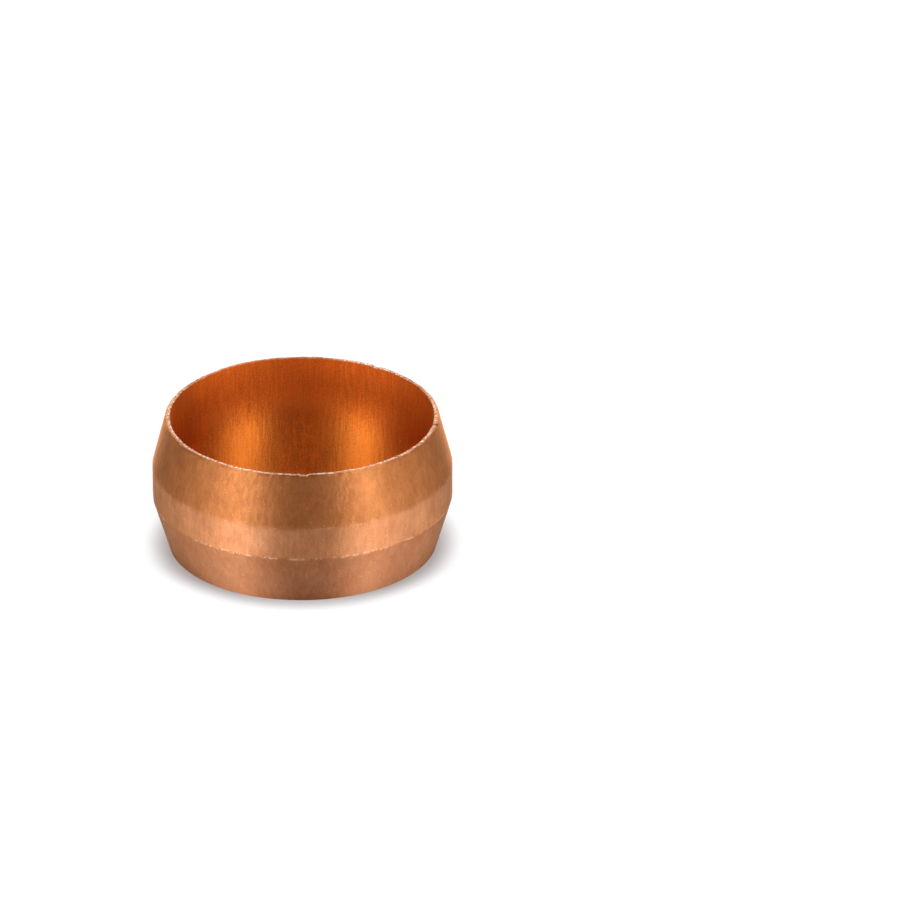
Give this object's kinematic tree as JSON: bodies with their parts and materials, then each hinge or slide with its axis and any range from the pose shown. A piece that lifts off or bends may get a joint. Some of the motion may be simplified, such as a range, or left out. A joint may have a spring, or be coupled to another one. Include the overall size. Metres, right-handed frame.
{
  "type": "compression olive",
  "caption": "Barrel-shaped copper ring with a straight bore, a plain middle band and a cone to each end; a nut squeezes it onto a tube to seal a compression joint.",
  "frame": {"origin": "centre of the foot, on the bore's axis and on the plane that the olive stands on", "axes": "+Z along the bore from the foot to the rim; X and Y are free, because the olive is round"},
  "size_m": [0.0172, 0.0172, 0.008],
  "materials": {
    "copper": "satin copper with a fine mottled grain, brighter on the cut rim and the worn ridges"
  },
  "bodies": {
    "root": {"olive": "copper"}
  },
  "joints": []
}
